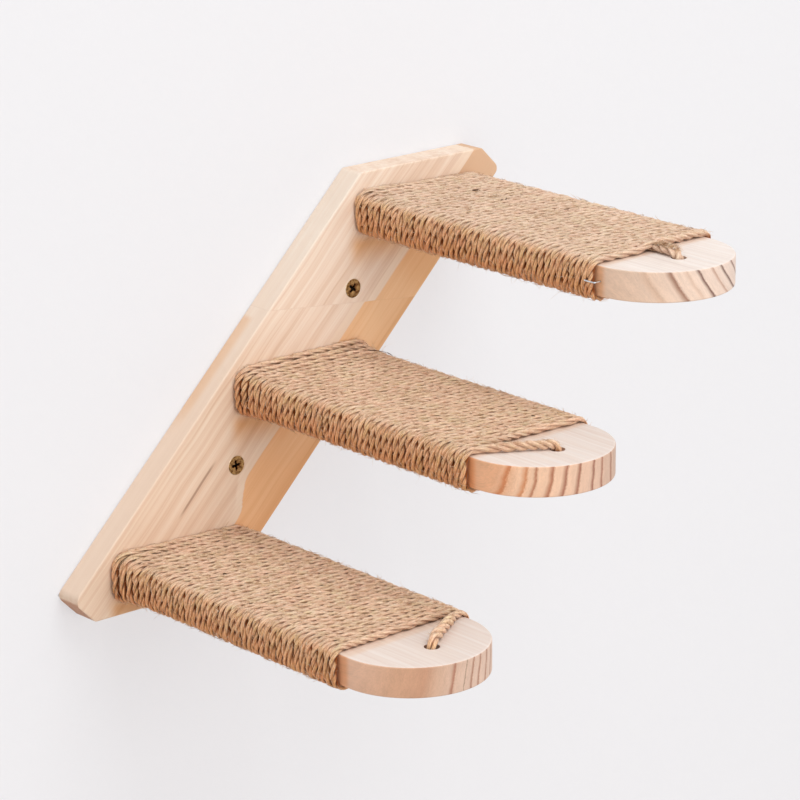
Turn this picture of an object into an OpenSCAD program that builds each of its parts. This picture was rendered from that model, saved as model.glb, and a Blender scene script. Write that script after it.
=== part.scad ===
// Cat climbing wall: a leaning pine backboard that carries three round-nosed treads, each wound with rope.
// +X runs to the right along the wall, +Y into the wall and +Z up, in millimetres.
// The origin is the middle of the backboard's back face, halfway between the two wall screws.

/* [Backboard] */
// Width of the board's strip, square to its long edges
board_w = 90; // [80:1:110]
// Thickness of the board
board_t = 18; // [15:0.5:25]
// Height of the board from its level bottom end to its level top end
board_h = 235; // [225:1:300]
// Lean of the board's long edges above the level
board_angle = 45; // [42:0.5:50]
// Width of the square cut that takes off each of the board's two sharp corners
board_corner_cut = 21; // [16:1:28]
// Radius of the board's corners
board_corner_r = 6; // [3:0.5:9]
// Distance of the board's own middle from the origin, up along the board
board_shift = -1.5; // [-5:0.5:5]

/* [Treads] */
// Width of a tread along the wall
tread_w = 90; // [76:1:100]
// Length of a tread from the board's face to the tip of its round nose
tread_l = 250; // [232:1:320]
// Thickness of a tread
tread_t = 18; // [15:0.5:24]
// Height from one tread to the next
step_rise = 93; // [86:0.5:98]
// Distance of the treads' centres from the board's centre line, square to it
tread_across = 4; // [0:0.5:10]
// Distance of the middle tread's centre from the origin, along the board
tread_along = 1; // [-4:0.5:6]
// Radius of the eased edges of the board and the treads
edge_r = 1; // [0.5:0.1:2.5]

/* [Rope] */
// Width of the rope as it lies, pulled flat, on the tread
rope_w = 5; // [4:0.5:6.5]
// Thickness of the rope as it lies on the tread
rope_t = 4; // [3:0.5:5.5]
// Length of the top tread that the rope covers, from the board's face
top_wrap_l = 205; // [170:1:208]
// Length of the middle and of the bottom tread that the rope covers
wrap_l = 201; // [170:1:208]
// Space between the rope and what it lies on
rope_clear = 0.3; // [0.2:0.05:0.6]
// Distance of the rope hole's centre from the tip of the nose
rope_hole_inset = 27; // [22:0.5:32]
// Diameter of the rope hole
rope_hole_d = 9; // [8.5:0.5:12]
// Radius in which the rope's centre line turns down into its hole
rope_bend_r = 4; // [3.6:0.1:5]
// Radius in which the top rope's last turn swings round towards its hole
rope_swing_r = 7; // [5:0.5:10]
// Depth of the rope's end below the tread's top face
rope_end_depth = 15; // [10:0.5:15]

/* [Fixings] */
// Distance between the two wall screws, along the board's centre line
wall_screw_spacing = 130; // [120:1:136]
// Diameter of a wall screw's thread
wall_screw_d = 6; // [4:0.5:7]
// Diameter of a wall screw's head
wall_head_d = 12; // [10:0.5:14]
// Length of a wall screw
wall_screw_l = 60; // [45:1:90]
// Distance between the two screws that hold a tread
tread_screw_spacing = 44; // [34:1:48]
// Diameter of a tread screw's thread
tread_screw_d = 5; // [3.5:0.5:6]
// Diameter of a tread screw's head
tread_head_d = 10; // [8:0.5:12]
// Length of a tread screw
tread_screw_l = 60; // [45:1:80]
// Depth of the screw heads below the face that they are sunk in
head_recess = 0.3; // [0.1:0.1:1]
// Diameter of a screw's smooth neck in the board, as a share of its thread's diameter
screw_neck = 0.72; // [0.65:0.01:0.8]
// Depth of the cross recess in a screw head, as a share of the head's diameter
cross_share = 0.22; // [0.15:0.01:0.24]
// Width of one slot of the cross recess
cross_slot_w = 1.4; // [0.8:0.1:2]
// Space round a screw in its hole
screw_clear = 0.1; // [0.05:0.05:0.4]
// Outer width of the staple that holds the top rope's last turn
staple_w = 9.2; // [9:0.1:9.4]
// Diameter of the staple's wire
staple_wire_d = 0.9; // [0.6:0.1:1]
// Depth to which the staple's legs enter the tread
staple_bite = 8; // [5:0.5:12]

/* [Hidden] */

$fn = 48;
pine = "#e6c3a0";
rope_colour = "#b8875a";
zinc = "#b59a5a";
steel = "#b9bcc0";
over = 1;
// How far the arc of a rounded corner runs past the edges that it joins
hair = 0.001;

// Places along and across the leaning board, turned into [x, z] on the wall
along_dir = [cos(board_angle), sin(board_angle)];
across_dir = [sin(board_angle), -cos(board_angle)];
step_run = step_rise / tan(board_angle);

function board_place(along, across) = along * along_dir + across * across_dir;

// Middles of the treads' wall ends, for step -1 at the bottom, 0 in the middle and 1 at the top
function tread_place(step) =
    along_dir * tread_along + across_dir * tread_across + step * [step_run, step_rise];
function wall_screw_place(side) = side * along_dir * wall_screw_spacing / 2;

// The lower three of the board's corners, from the left edge to the right: the centre of each one's round,
// the way that it faces and the angle that the board's outline turns by there
cut_along = (board_h / 2 + (board_w / 2 - board_corner_cut) * cos(board_angle)) / sin(board_angle);
inner_along = cut_along - board_corner_r;
inner_across = board_w / 2 - board_corner_r;
inner_rise = board_h / 2 - board_corner_r;
cut_across = (inner_rise - inner_along * sin(board_angle)) / cos(board_angle);
blunt_along = (inner_across * cos(board_angle) - inner_rise) / sin(board_angle);
lower_corners = [
    [board_place(-inner_along, -inner_across), 135 + board_angle, 90],
    [board_place(-inner_along, cut_across), 225 + board_angle / 2, 90 - board_angle],
    [board_place(blunt_along, inner_across), 270 + board_angle / 2, board_angle]
];
strip_l = 2 * (board_h + board_w);

// Centre of a tread's round nose, measured from the board's face
nose_r = tread_w / 2;
nose_l = tread_l - nose_r;
rope_hole_l = tread_l - rope_hole_inset;

// The rope's centre line goes round a tread in a rounded oblong, concentric with the eased edges
rope_off = rope_clear + rope_t / 2;
rope_side = rope_clear + rope_w / 2;
turn_r = edge_r + rope_off;
turn_x = tread_w / 2 - edge_r;
turn_z = tread_t / 2 - edge_r;
arc_l = turn_r * PI / 2;
loop_l = 4 * (turn_x + turn_z + arc_l);

// A real rope lies turn on turn, and this model draws no more than 24 of its turns
last_travel = rope_travel(1, 90) / loop_l;
rope_sides = 6;

function loops(wrap) = min(24, floor(wrap / rope_w));
function loop_pitch(wrap) = (wrap - rope_clear - rope_w) / (loops(wrap) - 1 + last_travel);

// The winding's direction over the top, 1 from left to right and -1 from right to left, and where it leaves
top_leave_x = -rope_swing_r;
edge_leave_x = -turn_x;
staple_leg_x = tread_w / 2 + rope_clear + rope_t + staple_wire_d / 2 + screw_clear;
staple_l = rope_side
    + loop_pitch(top_wrap_l) * (loops(top_wrap_l) - 1 + rope_travel(1, -45) / loop_l);
staple_half = (staple_w - staple_wire_d) / 2;
staple_bend_r = staple_wire_d;

// Slab with two rounded edges on its outer side, from its inner line to its edge
module edge_profile(width, thickness) {
    square([width - edge_r, thickness]);
    translate([0, edge_r]) square([width, thickness - 2 * edge_r]);
    for (y = [edge_r, thickness - edge_r]) {
        translate([width - edge_r, y]) circle(edge_r);
    }
}

// Strip of board with four eased edges, lying flat along X about its middle
module eased_strip(width) {
    rotate([0, 90, 0]) translate([-board_t, 0, -strip_l / 2]) linear_extrude(strip_l) {
        translate([edge_r, -width / 2]) square([board_t - 2 * edge_r, width]);
        translate([0, edge_r - width / 2]) square([board_t, width - 2 * edge_r]);
        for (x = [edge_r, board_t - edge_r]) {
            for (side = [-1, 1]) {
                translate([x, side * (width / 2 - edge_r)]) circle(edge_r);
            }
        }
    }
}

// What rounding takes off a corner that faces +X, where the outline turns by an angle
module corner_waste(turn) {
    tip = board_corner_r / cos(turn / 2);
    difference() {
        polygon([
            [0, 0], tip * [cos(turn / 2), -sin(turn / 2)],
            [2 * tip, 0], tip * [cos(turn / 2), sin(turn / 2)]
        ]);
        circle(board_corner_r + hair, $fn = 96);
    }
}

// Leaning board with level ends, its two sharp corners cut off square and all six corners rounded, lying flat
module board_blank() {
    difference() {
        intersection() {
            rotate(board_angle) eased_strip(board_w);
            rotate(board_angle + 90) eased_strip(2 * cut_along);
            eased_strip(board_h);
        }
        for (half = [0, 180]) {
            for (corner = lower_corners) {
                rotate(half) translate(corner[0]) rotate(corner[1]) translate([0, 0, -over])
                    linear_extrude(board_t + 2 * over) corner_waste(corner[2]);
            }
        }
    }
}

// Countersunk wood screw with its head's face at the origin, pointing down: a smooth neck through the board,
// and beyond the board's far face a plain shank as thick as the thread
module wood_screw(diameter, head_d, length) {
    neck = screw_neck * diameter;
    sink = (head_d - neck) / 2;
    grip = board_t - head_recess;
    tip = 1.5 * diameter;
    cross_l = 0.42 * head_d;
    difference() {
        union() {
            translate([0, 0, -sink]) cylinder(h = sink, d1 = neck, d2 = head_d);
            translate([0, 0, -grip]) cylinder(h = grip, d = neck);
            translate([0, 0, tip - length]) cylinder(h = length - tip - grip, d = diameter);
            translate([0, 0, -length]) cylinder(h = tip, d1 = diameter / 8, d2 = diameter);
        }
        for (turn = [0, 90]) {
            rotate([0, 0, turn])
                translate([-cross_l / 2, -cross_slot_w / 2, -cross_share * head_d])
                    cube([cross_l, cross_slot_w, cross_share * head_d + over]);
        }
    }
}

// Hole for a wood screw, with its countersink, from the face at the origin down
module screw_hole(diameter, head_d, depth) {
    mouth = head_d + 2 * head_recess;
    sink = (mouth - diameter) / 2;
    translate([0, 0, -depth]) cylinder(h = depth + over, d = diameter + 2 * screw_clear);
    translate([0, 0, -sink]) cylinder(h = sink, d1 = diameter, d2 = mouth);
    cylinder(h = over, d = mouth);
}

module at_wall_screw(side) {
    place = wall_screw_place(side);
    translate([place.x, -board_t, place.y]) rotate([90, 0, 0]) children();
}

module at_tread_screw(step, side) {
    place = tread_place(step);
    translate([place.x + side * tread_screw_spacing / 2, 0, place.y]) rotate([-90, 0, 0]) children();
}

// Backboard, with its countersunk holes for the wall screws in front and for the tread screws behind
module backboard() {
    color(pine) difference() {
        rotate([90, 0, 0]) translate(board_shift * along_dir) board_blank();
        for (side = [-1, 1]) {
            at_wall_screw(side) screw_hole(wall_screw_d, wall_head_d, board_t + over);
        }
        for (step = [-1 : 1]) {
            for (side = [-1, 1]) {
                at_tread_screw(step, side) screw_hole(tread_screw_d, tread_head_d, board_t + over);
            }
        }
    }
}

// Tread with its left edge at -X, its wall end on the board's face and its round nose away from the wall
module tread(step, stapled = false) {
    place = tread_place(step);
    color(pine) difference() {
        union() {
            translate([place.x, -board_t, place.y - tread_t / 2]) {
                for (side = [0, 180]) {
                    translate([0, side == 0 ? 0 : -nose_l, 0])
                        rotate([90, 0, side])
                            linear_extrude(nose_l) edge_profile(nose_r, tread_t);
                }
                translate([0, -nose_l, 0]) rotate_extrude($fn = 144) edge_profile(nose_r, tread_t);
            }
        }
        translate([place.x, -board_t - rope_hole_l, place.y - tread_t / 2 - over])
            cylinder(h = tread_t + 2 * over, d = rope_hole_d);
        for (side = [-1, 1]) {
            at_tread_screw(step, side)
                translate([0, 0, -tread_screw_l - over])
                    cylinder(h = tread_screw_l + over, d = tread_screw_d + 2 * screw_clear);
        }
        if (stapled) {
            for (leg = [-1, 1]) {
                translate([place.x - tread_w / 2 - over, -board_t - staple_l + leg * staple_half, place.y])
                    rotate([0, 90, 0])
                        cylinder(h = staple_bite + over + screw_clear, d = staple_wire_d + 2 * screw_clear);
            }
        }
    }
}

// Distance along one loop from the middle of the underside to a corner, and on round it by an angle
function rope_travel(corner, turned) =
    turn_x + corner * arc_l + arc_l * turned / 90
    + 2 * (min(corner, 1) * turn_z + max(0, min(corner - 1, 1)) * turn_x + max(0, corner - 2) * turn_z);

// One ring of the winding: its centre as [x, l, z], with l from the board's face, and its outward side
function loop_ring(pitch, turn, corner, turned) =
    let (facing = 270 - 90 * corner - turned)
    let (out = [cos(facing), 0, sin(facing)])
    let (middle = [corner < 2 ? -turn_x : turn_x, 0, corner == 1 || corner == 2 ? turn_z : -turn_z])
    let (advance = rope_side + pitch * (turn + rope_travel(corner, turned) / loop_l))
    [middle + turn_r * out + [0, advance, 0], out];

// The last turn's swing on the tread's top, from across the tread to along it, drawn in steps of an angle
function swing_rings(leave_x, leave_l, height) =
    [for (swung = [0 : 30 : 90])
        let (swung_l = leave_l + rope_swing_r * (1 - cos(swung)))
        [[leave_x + rope_swing_r * sin(swung), swung_l, height], [0, 0, 1]]];

// The rope's end, which runs over the tread's top to its hole and turns down into it
function end_rings(from, height) =
    let (way = [0, rope_hole_l] - [from.x, from.y])
    let (aim = [way.x, way.y, 0] / norm(way))
    let (hole = [0, rope_hole_l, height])
    concat(
        [for (dip = [0 : 30 : 90])
            let (out = aim * sin(dip) + [0, 0, cos(dip)])
            [hole - [0, 0, rope_bend_r] - aim * rope_bend_r + out * rope_bend_r, out]],
        [[[0, rope_hole_l, tread_t / 2 - rope_end_depth], aim]]
    );

function winding_rings(wrap, leave_x) =
    let (height = turn_z + turn_r)
    let (pitch = loop_pitch(wrap))
    let (last = loops(wrap) - 1)
    let (leave_l = rope_side + pitch * (last + (rope_travel(1, 90) + leave_x + turn_x) / loop_l))
    let (start = [[[0, rope_side, -height], [0, 0, -1]]])
    let (body = [for (turn = [0 : last]) for (corner = [0 : turn == last ? 1 : 3])
        for (turned = corner == 1 || corner == 2 ? [0, 45, 90] : [0, 90])
            loop_ring(pitch, turn, corner, turned)])
    let (swing = leave_x > edge_leave_x ? swing_rings(leave_x, leave_l, height) : [])
    let (from = len(swing) > 0 ? [leave_x + rope_swing_r, leave_l + rope_swing_r] : [leave_x, leave_l])
    concat(start, body, swing, end_rings(from, height));

function unit(v) = v / norm(v);

// Points of the tube's skin round its rings, each ring square to the way through it
function tube_points(rings) = [
    for (i = [0 : len(rings) - 1])
        let (before = rings[max(i - 1, 0)][0])
        let (after = rings[min(i + 1, len(rings) - 1)][0])
        let (here = rings[i][0])
        let (arrive = i == 0 ? [0, 0, 0] : unit(here - before))
        let (depart = i == len(rings) - 1 ? [0, 0, 0] : unit(after - here))
        let (way = unit(arrive + depart))
        let (out = unit(rings[i][1] - way * (rings[i][1] * way)))
        let (aside = cross(way, out))
        for (k = [0 : rope_sides - 1])
            let (round = k * 360 / rope_sides)
            here + rope_t / 2 * out * cos(round) + rope_w / 2 * aside * sin(round)
];

module tube(rings) {
    n = len(rings);
    skin = [
        for (i = [0 : n - 2])
            for (k = [0 : rope_sides - 1])
                let (a = i * rope_sides + k)
                let (b = i * rope_sides + (k + 1) % rope_sides)
                each [[a, a + rope_sides, b], [b, a + rope_sides, b + rope_sides]]
    ];
    start_cap = [for (k = [1 : rope_sides - 2]) [0, k, k + 1]];
    end = (n - 1) * rope_sides;
    end_cap = [for (k = [1 : rope_sides - 2]) [end, end + k + 1, end + k]];
    polyhedron(points = tube_points(rings), faces = concat(skin, start_cap, end_cap));
}

// Least gap between stretches of the rope that lie more than half a loop apart, on points along it
function rope_samples(rings) = [
    for (i = [0 : len(rings) - 2])
        for (part = [0, 0.25, 0.5, 0.75])
            rings[i][0] * (1 - part) + rings[i + 1][0] * part
];

function rope_gap(rings) =
    let (samples = rope_samples(rings))
    let (near = 20)
    let (far = 60)
    min([for (i = [0 : len(samples) - 1 - near])
        for (j = [i + near : min(i + far, len(samples) - 1)])
            norm(samples[j] - samples[i])]) - rope_w;

// Rope winding of one tread, one unbroken tube from its start under the tread to its end in the hole
module winding(step, wrap, direction, leave_x) {
    place = tread_place(step);
    rings = winding_rings(wrap, leave_x);
    echo(step = step, loops = loops(wrap), rings = len(rings), gap = rope_gap(rings));
    color(rope_colour)
        translate([place.x, -board_t, place.y])
            mirror([direction < 0 ? 1 : 0, 0, 0])
                mirror([0, 1, 0]) tube(rings);
}

module tread_top() tread(1, stapled = true);
module tread_middle() tread(0);
module tread_bottom() tread(-1);
module rope_top() winding(1, top_wrap_l, 1, top_leave_x);
module rope_middle() winding(0, wrap_l, 1, edge_leave_x);
module rope_bottom() winding(-1, wrap_l, -1, edge_leave_x);

// Screw from behind the board into the end grain of a tread
module tread_screw(step, side) {
    color(steel) at_tread_screw(step, side)
        translate([0, 0, -head_recess])
            wood_screw(tread_screw_d, tread_head_d, tread_screw_l - head_recess);
}

module tread_screw_top_left() tread_screw(1, -1);
module tread_screw_top_right() tread_screw(1, 1);
module tread_screw_middle_left() tread_screw(0, -1);
module tread_screw_middle_right() tread_screw(0, 1);
module tread_screw_bottom_left() tread_screw(-1, -1);
module tread_screw_bottom_right() tread_screw(-1, 1);

// Screw from the board's face into the wall
module wall_screw(side) {
    color(zinc) at_wall_screw(side)
        translate([0, 0, -head_recess]) wood_screw(wall_screw_d, wall_head_d, wall_screw_l);
}

module wall_screw_upper() wall_screw(1);
module wall_screw_lower() wall_screw(-1);

// Wire staple astride the top rope's last turn, in the left edge of the tread
module rope_staple() {
    place = tread_place(1);
    leg_l = staple_leg_x - staple_bend_r - tread_w / 2 + staple_bite;
    crown_half = staple_half - staple_bend_r;
    color(steel) translate([place.x - staple_leg_x, -board_t - staple_l, place.y]) {
        for (leg = [-1, 1]) {
            translate([staple_bend_r, leg * staple_half, 0])
                rotate([0, 90, 0]) cylinder(h = leg_l, d = staple_wire_d);
            translate([staple_bend_r, leg * crown_half, 0])
                rotate([0, 0, leg > 0 ? 90 : 180])
                    rotate_extrude(angle = 90) translate([staple_bend_r, 0]) circle(d = staple_wire_d);
        }
        rotate([90, 0, 0]) cylinder(h = 2 * crown_half, d = staple_wire_d, center = true);
    }
}

backboard();
tread_top();
tread_middle();
tread_bottom();
rope_top();
rope_middle();
rope_bottom();
tread_screw_top_left();
tread_screw_top_right();
tread_screw_middle_left();
tread_screw_middle_right();
tread_screw_bottom_left();
tread_screw_bottom_right();
wall_screw_upper();
wall_screw_lower();
rope_staple();
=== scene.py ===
# %% [markdown]
# # A cat climbing wall of pine and jute
# A pine board leans up a wall and carries three round-nosed treads, each wound with rope. The solids come
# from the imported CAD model. This lesson dresses them: wood whose grain runs through the solid, rope laid
# from three strands and wound turn by turn, and screws with cross recesses and threads.

# %% Load the frame
import math

import bpy
import numpy as np
from mathutils import Matrix, Vector
from mathutils.geometry import tessellate_polygon


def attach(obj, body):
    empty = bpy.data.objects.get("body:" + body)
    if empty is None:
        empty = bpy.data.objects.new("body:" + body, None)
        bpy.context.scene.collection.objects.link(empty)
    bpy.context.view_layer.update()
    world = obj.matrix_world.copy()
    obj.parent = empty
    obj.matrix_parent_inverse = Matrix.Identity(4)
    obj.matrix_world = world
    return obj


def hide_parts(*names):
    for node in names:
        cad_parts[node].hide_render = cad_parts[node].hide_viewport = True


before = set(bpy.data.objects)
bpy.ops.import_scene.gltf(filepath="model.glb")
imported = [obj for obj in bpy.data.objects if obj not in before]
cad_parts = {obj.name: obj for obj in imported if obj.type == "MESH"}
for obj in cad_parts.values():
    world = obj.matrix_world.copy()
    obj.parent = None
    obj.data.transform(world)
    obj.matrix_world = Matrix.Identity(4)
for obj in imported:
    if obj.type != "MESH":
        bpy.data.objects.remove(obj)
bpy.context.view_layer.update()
MM = 0.001

# %% [markdown]
# ## Real sizes
# The same lengths as in the part's source, in millimetres. X runs to the right along the wall, Y into it
# and Z up, and the origin is halfway between the two wall screws on the board's back face. The board leans,
# so a place on it is easiest to say as so far along its grain and so far across it.

# %% Sizes and places
BOARD = {"w": 90.0, "t": 18.0, "h": 235.0, "angle": 45.0, "cut": 21.0, "shift": -1.5}
TREAD = {"w": 90.0, "l": 250.0, "t": 18.0, "rise": 93.0, "across": 4.0, "along": 1.0, "edge_r": 1.0}
COVERED = {"top": 205.0, "middle": 201.0, "bottom": 201.0}
STEPS = {"top": 1, "middle": 0, "bottom": -1}

lean = math.radians(BOARD["angle"])
ALONG = np.array([math.cos(lean), 0.0, math.sin(lean)])
ACROSS = np.array([math.sin(lean), 0.0, -math.cos(lean)])


def tread_place(step):
    """Middle of a tread's wall end, on the wall plane: along*a + across*c + step*(run, rise)."""
    run = TREAD["rise"] / math.tan(lean)
    return TREAD["along"] * ALONG + TREAD["across"] * ACROSS + step * np.array([run, 0.0, TREAD["rise"]])


for name, step in STEPS.items():
    print("tread", name, "centre", np.round(tread_place(step), 2))

# %% [markdown]
# ## Camera
# The photograph was taken from the left of the treads and a little above, through a long lens. Such a view
# can be aimed by hand. Here the seen edges, noses and holes were fitted instead, which gave three angles, a
# place and a lens. The camera's axes, right, up and backwards, are the columns of its matrix.

# %% Camera
YAW, PITCH, ROLL = math.radians(41.071557), math.radians(17.038779), math.radians(-0.270830)
EYE = np.array([-1.3204798, -1.6280290, 0.6227911])
SENSOR, LENS = 36.0, 163.678

LOOK = np.array([math.sin(YAW) * math.cos(PITCH), math.cos(YAW) * math.cos(PITCH), -math.sin(PITCH)])
level = np.array([math.cos(YAW), -math.sin(YAW), 0.0])
above = np.cross(level, LOOK)
RIGHT = math.cos(ROLL) * level + math.sin(ROLL) * above
UP = -math.sin(ROLL) * level + math.cos(ROLL) * above
axes = np.stack([RIGHT, UP, -LOOK], 1)

camera_data = bpy.data.cameras.new("camera")
camera_data.sensor_width, camera_data.lens = SENSOR, LENS
camera_data.clip_start, camera_data.clip_end = 0.05, 30.0
camera = bpy.data.objects.new("camera", camera_data)
camera.matrix_world = Matrix([[*row, e] for row, e in zip(axes, EYE)] + [[0, 0, 0, 1]])
bpy.context.scene.collection.objects.link(camera)
bpy.context.scene.camera = camera
print("the camera stands %.2f m from the wall fixings" % np.linalg.norm(EYE))

# %% [markdown]
# ## Shader graphs as formulas
# A material is a graph of nodes. Laid out by hand it is hard to follow, so `Nodes` makes each node by a
# call that returns its output, and a material then reads like a formula.


# %% Tools for shaders
def srgb(*values):
    """Display values 0..255 as scene-linear: ((v + 0.055) / 1.055) ** 2.4 above the linear toe."""
    v = np.array(values, float) / 255
    lin = np.where(v <= 0.04045, v / 12.92, ((v + 0.055) / 1.055) ** 2.4)
    return tuple(float(x) for x in lin) + (1.0,)


class Nodes:
    """A material whose nodes are made by calls; each call returns an output socket."""

    def __init__(self, name, **shader):
        """An empty graph with a Principled shader, whose sockets are set by name, with _ for a space."""
        self.material = bpy.data.materials.new(name)
        self.material.use_nodes = True
        self.tree = self.material.node_tree
        self.tree.nodes.clear()
        self.output = self.tree.nodes.new("ShaderNodeOutputMaterial")
        self.shader = self.tree.nodes.new("ShaderNodeBsdfPrincipled")
        self.tree.links.new(self.shader.outputs[0], self.output.inputs[0])
        for socket, value in shader.items():
            self.shader.inputs[socket.replace("_", " ")].default_value = value

    def put(self, socket, value):
        """Link an output to an input socket, or set the input's own value, or leave it alone for None."""
        if isinstance(value, bpy.types.NodeSocket):
            self.tree.links.new(value, socket)
        elif value is not None:
            socket.default_value = value

    def node(self, kind, *values, out=0, **settings):
        """Any node: its settings by name, and its inputs in their order."""
        made = self.tree.nodes.new("ShaderNode" + kind)
        for key, value in settings.items():
            setattr(made, key, value)
        for i, value in enumerate(values):
            self.put(made.inputs[i], value)
        return made.outputs[out]

    def math(self, operation, a, b=None):
        """One step of arithmetic on a, or on a and b."""
        return self.node("Math", a, b, operation=operation)

    def add(self, a, b):
        """a + b"""
        return self.math("ADD", a, b)

    def less(self, a, b):
        """a - b"""
        return self.math("SUBTRACT", a, b)

    def mul(self, a, b):
        """a b"""
        return self.math("MULTIPLY", a, b)

    def place(self):
        """Object coordinates, which are metres in the part's frame."""
        return self.node("TexCoord", out=3)

    def place_mm(self):
        """Object coordinates in millimetres: 1000 place."""
        return self.node("VectorMath", self.place(), (1000.0, 1000.0, 1000.0), operation="MULTIPLY")

    def dot(self, vector, axis):
        """How far a vector goes along an axis: the sum of their products."""
        return self.node("VectorMath", vector, tuple(axis), out=1, operation="DOT_PRODUCT")


# %% [markdown]
# On these sit the patterns that a finish is made of: clouds, bands, thin lines, ramps of colour and stains.
# Each could be a node group, but a method is shorter and takes any number of sockets.


# %% Patterns
class Graph(Nodes):
    """A material with patterns."""

    def noise(self, vector, scale=1.0, detail=3.0, rough=0.55):
        """Cloudy noise around 0.5, with 1 / scale as the size of its clouds."""
        made = self.tree.nodes.new("ShaderNodeTexNoise")
        self.put(made.inputs["Vector"], vector)
        for key, value in (("Scale", scale), ("Detail", detail), ("Roughness", rough)):
            made.inputs[key].default_value = value
        return made.outputs["Fac"]

    def drawn(self, x, y, z, detail=3.0, rough=0.55):
        """Noise at (x fx, y fy, z fz), each given as (value, f): a small f draws the clouds out that way."""
        parts = [self.mul(*part) if isinstance(part, tuple) else part for part in (x, y, z)]
        return self.noise(self.node("CombineXYZ", *parts), 1.0, detail, rough)

    def ramp(self, value, low, high, to_low=0.0, to_high=1.0, smooth=True):
        """Clamped map from low..high to to_low..to_high, with soft ends if smooth."""
        made = self.tree.nodes.new("ShaderNodeMapRange")
        made.interpolation_type = "SMOOTHSTEP" if smooth else "LINEAR"
        for i, v in enumerate((value, low, high, to_low, to_high)):
            self.put(made.inputs[i], v)
        return made.outputs[0]

    def spread(self, noise, low, high, reach=0.2):
        """A noise's middle, 0.5 - reach to 0.5 + reach, as low..high in a straight line."""
        return self.ramp(noise, 0.5 - reach, 0.5 + reach, low, high, smooth=False)

    def band(self, value, start, full, fade, end):
        """Rises from 0 at start to 1 at full and falls from fade to 0 at end: the product of two ramps."""
        return self.mul(self.ramp(value, start, full), self.ramp(value, end, fade))

    def thin(self, value, inner, outer):
        """A line where value is 0: 1 where |value| < inner, and 0 where |value| > outer."""
        return self.ramp(self.math("ABSOLUTE", value), inner, outer, 1.0, 0.0)

    def colours(self, value, stops):
        """Colour ramp through (place 0..1, linear colour) stops, at most 32."""
        made = self.tree.nodes.new("ShaderNodeValToRGB")
        ramp = made.color_ramp
        while len(ramp.elements) < len(stops):
            ramp.elements.new(0.5)
        for element, (place, colour) in zip(ramp.elements, sorted(stops, key=lambda s: s[0])):
            element.position, element.color = place, colour
        self.put(made.inputs[0], value)
        return made.outputs[0]

    def mix(self, fac, a, b, blend="MIX"):
        """a + fac (b - a), or for MULTIPLY a (1 + fac (b - 1))."""
        made = self.tree.nodes.new("ShaderNodeMix")
        made.data_type, made.blend_type = "RGBA", blend
        self.put(made.inputs[0], fac)
        self.put(made.inputs[6], a)
        self.put(made.inputs[7], b)
        return made.outputs[2]

    def stain(self, colour, fac, *display):
        """A colour multiplied by a display colour, by the share fac."""
        return self.mix(fac, colour, srgb(*display), "MULTIPLY")

    def curve(self, value, points, low, high):
        """A smooth curve of one variable through (x, y) points, both scaled from low..high to 0..1."""
        made = self.tree.nodes.new("ShaderNodeFloatCurve")
        line = made.mapping.curves[0]
        while len(line.points) < len(points):
            line.points.new(0.5, 0.5)
        for point, (x, y) in zip(line.points, points):
            point.location = ((x - low) / (high - low), (y - low) / (high - low))
        made.mapping.update()
        made.inputs[0].default_value = 1.0
        self.put(made.inputs[1], self.ramp(value, low, high, smooth=False))
        return self.ramp(made.outputs[0], 0.0, 1.0, low, high, smooth=False)

    def bump(self, height, strength, distance):
        """A normal tilted by the slope of height, where distance in metres is the height of 1."""
        made = self.tree.nodes.new("ShaderNodeBump")
        made.inputs["Strength"].default_value = strength
        made.inputs["Distance"].default_value = distance
        self.put(made.inputs["Height"], height)
        return made.outputs[0]

    def choose(self, share, first, second):
        """Two shaders mixed: first (1 - share) + second share."""
        return self.node("MixShader", share, first, second)

    def finish(self, colour, roughness=None, normal=None):
        """Colour, roughness and normal go to the shader, and the material is done."""
        self.put(self.shader.inputs["Base Color"], colour)
        self.put(self.shader.inputs["Roughness"], roughness)
        self.put(self.shader.inputs["Normal"], normal)
        return self.material


# %% [markdown]
# ## Meshes from arrays
# Every new piece is a grid of points worked out by numpy and joined by quads. Modelling tools could make
# such shapes too, but with a formula each size can be said exactly and changed in one place.


# %% Tools for meshes
def mesh_piece(name, points, faces, material, smooth=True, uv=None, values=None):
    """Mesh object from points in mm, with optional UVs per face corner and point values by name."""
    mesh = bpy.data.meshes.new(name)
    mesh.from_pydata((np.asarray(points) * MM).tolist(), [], [tuple(f) for f in faces])
    mesh.polygons.foreach_set("use_smooth", [smooth] * len(mesh.polygons))
    if uv is not None:
        layer = mesh.uv_layers.new(name="lay")
        layer.data.foreach_set("uv", np.asarray(uv, np.float32).ravel())
    for key, value in (values or {}).items():
        mesh.attributes.new(key, "FLOAT", "POINT").data.foreach_set("value", np.asarray(value, np.float32))
    mesh.materials.append(material)
    mesh.update()
    made = bpy.data.objects.new(name, mesh)
    bpy.context.scene.collection.objects.link(made)
    return made


def grid_faces(rows, columns, start=0):
    """Quads (i, j), (i, j + 1), (i + 1, j + 1), (i + 1, j) between rows of points, each row a closed ring."""
    i = np.arange(rows - 1)[:, None] * columns
    j = np.arange(columns)[None, :]
    k = (j + 1) % columns
    quads = np.stack([i + j, i + k, i + columns + k, i + columns + j], -1)
    return quads.reshape(-1, 4) + start


def joined(parts):
    """Several meshes as one: points, faces shifted by the points before them, and UVs if there are any."""
    start = np.cumsum([0] + [len(part[0]) for part in parts[:-1]])
    faces = np.concatenate([part[1] + at for part, at in zip(parts, start)])
    uvs = [np.concatenate([part[2] for part in parts])] if len(parts[0]) > 2 else []
    return (np.concatenate([part[0] for part in parts]), faces, *uvs)


# %% [markdown]
# ## Wall and floor
# The wall is a pale plane just behind the board. A solid wall would hide the part from behind, so the plane
# is clear on its back, and it has an opening a little smaller than the board's outline, which lets light
# onto the board's back. Most of what the camera sees of it is plain light, and the rest is paint, which
# holds the soft shadows.

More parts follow.
